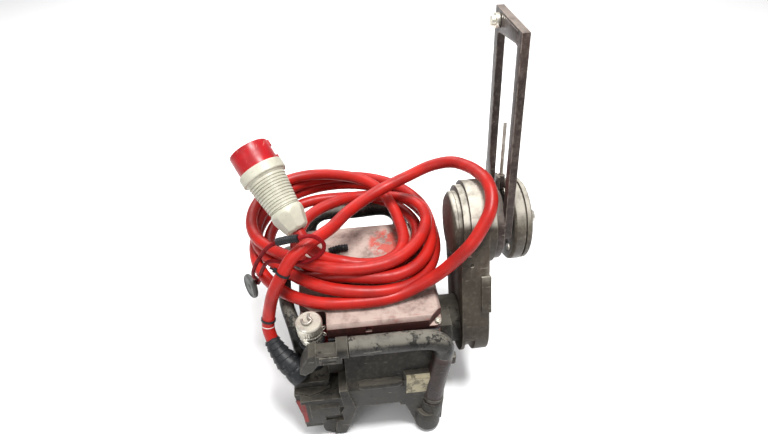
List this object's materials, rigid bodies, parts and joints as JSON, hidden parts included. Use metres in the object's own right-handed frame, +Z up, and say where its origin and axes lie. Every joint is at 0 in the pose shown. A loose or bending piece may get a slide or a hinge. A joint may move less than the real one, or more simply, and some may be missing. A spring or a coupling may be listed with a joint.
{
  "type": "wall saw drive head",
  "caption": "Wall saw drive head on a rail carriage, with a swivelling gear arm, blade flange, guard holder, tube handles and a coiled mains lead with an industrial plug.",
  "frame": {"origin": "under the middle of the head without its cord, on the plane that the feet stand on", "axes": "+X along the blade spindle towards the flange, +Y along the rail away from the control socket's end, +Z up"},
  "size_m": [0.4429, 0.3725, 0.5517],
  "materials": {
    "cast_grey": "worn grey paint on cast aluminium, dusty",
    "handle_grey": "worn grey paint on steel tube, scuffed to rust brown",
    "red_paint": "worn red paint",
    "dusty_lid": "red paint under pale concrete dust",
    "arm_grey": "grey beige paint, dusty",
    "steel": "machined, lightly worn",
    "dark_steel": "brown worn steel",
    "black_rubber": "matte black",
    "beige_plastic": "aged beige plastic",
    "red_plastic": "scratched red plastic",
    "red_cable": "smooth red cable sheath",
    "tether_red": "dark red cord",
    "copper": "wound copper wire",
    "board": "coated circuit board"
  },
  "bodies": {
    "frame": {"carriage_body": "cast_grey", "front_casting": "cast_grey", "rear_casting": "cast_grey", "motor_housing": "red_paint", "lid_seal": "black_rubber", "housing_lid": "dusty_lid", "lid_screw_1": "steel", "lid_screw_2": "steel", "lid_screw_3": "steel", "lid_screw_4": "steel", "motor_stator": "copper", "control_board": "board", "feed_motor": "dark_steel", "front_handle": "handle_grey", "rear_handle": "handle_grey", "side_bar": "handle_grey", "handle_bracket": "cast_grey", "swivel_bearing": "cast_grey", "cable_gland": "black_rubber", "strain_relief": "black_rubber", "control_socket": "black_rubber", "roller_axle_1": "dark_steel", "roller_axle_2": "dark_steel", "roller_axle_3": "dark_steel", "roller_axle_4": "dark_steel", "mains_lead": "red_cable", "mains_coil": "red_cable", "mains_tail": "red_cable", "plug_nut": "beige_plastic", "plug_body": "beige_plastic", "plug_shroud": "red_plastic", "cord_sleeve": "black_rubber", "tether": "tether_red", "hanging_cap": "black_rubber"},
    "roller_1": {"guide_roller_1": "steel"},
    "roller_2": {"guide_roller_2": "steel"},
    "roller_3": {"guide_roller_3": "steel"},
    "roller_4": {"guide_roller_4": "steel"},
    "feed": {"feed_pinion": "steel"},
    "lever": {"clamp_lever": "arm_grey"},
    "cap": {"socket_cap": "steel", "cap_hook": "steel"},
    "arm": {"arm_housing": "arm_grey", "arm_cover": "arm_grey", "idler_axle": "dark_steel"},
    "rotor": {"motor_rotor": "steel", "input_gear": "steel"},
    "idler": {"idler_gear": "steel"},
    "spindle": {"spindle": "steel", "output_gear": "steel", "inner_flange": "arm_grey", "outer_flange": "arm_grey", "flange_screw_1": "steel", "flange_screw_2": "steel", "flange_screw_3": "steel", "flange_nut": "steel"},
    "guard": {"guard_frame": "dark_steel"},
    "knob": {"guard_knob": "steel"},
    "latch": {"latch_rod": "steel"}
  },
  "joints": [
    {"name": "arm_swivel", "type": "hinge", "parent": "frame", "child": "arm", "pos_m": [0.0745, -0.053, 0.135], "axis": [-1, 0, 0], "range_deg": [0, 120]},
    {"name": "spindle_spin", "type": "hinge", "parent": "arm", "child": "spindle", "pos_m": [0.1455, 0.01484, 0.27046], "axis": [1, 0, 0], "continuous": true},
    {"name": "idler_spin", "type": "hinge", "parent": "arm", "child": "idler", "pos_m": [0.0995, -0.02345, 0.19401], "axis": [1, 0, 0], "continuous": true},
    {"name": "rotor_spin", "type": "hinge", "parent": "arm", "child": "rotor", "pos_m": [0.0495, -0.053, 0.135], "axis": [1, 0, 0], "continuous": true},
    {"name": "guard_swivel", "type": "hinge", "parent": "arm", "child": "guard", "pos_m": [0.1515, 0.01484, 0.27046], "axis": [1, 0, 0], "range_deg": [-90, 90]},
    {"name": "knob_turn", "type": "hinge", "parent": "guard", "child": "knob", "pos_m": [0.1495, 0.10474, 0.53179], "axis": [1, 0, 0], "continuous": true},
    {"name": "latch_slide", "type": "slide", "parent": "guard", "child": "latch", "axis": [0, 0.1994, 0.9799], "range_m": [0, 0.02], "stiffness_N_per_m": 150},
    {"name": "feed_spin", "type": "hinge", "parent": "frame", "child": "feed", "pos_m": [-0.0465, 0.03, 0.08], "axis": [1, 0, 0], "continuous": true},
    {"name": "lever_turn", "type": "hinge", "parent": "frame", "child": "lever", "pos_m": [0.0595, -0.084, 0.072], "axis": [-1, 0, 0], "range_deg": [0, 90]},
    {"name": "cap_turn", "type": "hinge", "parent": "frame", "child": "cap", "pos_m": [-0.1335, -0.098, 0.2], "axis": [0, 0, 1], "range_deg": [0, 60]},
    {"name": "roller_1_spin", "type": "hinge", "parent": "frame", "child": "roller_1", "pos_m": [-0.0975, -0.08, 0.036], "axis": [0, 0, 1], "continuous": true},
    {"name": "roller_2_spin", "type": "hinge", "parent": "frame", "child": "roller_2", "pos_m": [-0.0975, 0.08, 0.036], "axis": [0, 0, 1], "continuous": true},
    {"name": "roller_3_spin", "type": "hinge", "parent": "frame", "child": "roller_3", "pos_m": [0.0045, -0.08, 0.036], "axis": [0, 0, 1], "continuous": true},
    {"name": "roller_4_spin", "type": "hinge", "parent": "frame", "child": "roller_4", "pos_m": [0.0045, 0.08, 0.036], "axis": [0, 0, 1], "continuous": true}
  ],
  "couplings": [
    {"joint": "idler_spin", "follows": "spindle_spin", "ratio": -1.28},
    {"joint": "rotor_spin", "follows": "spindle_spin", "ratio": 1.6842}
  ]
}
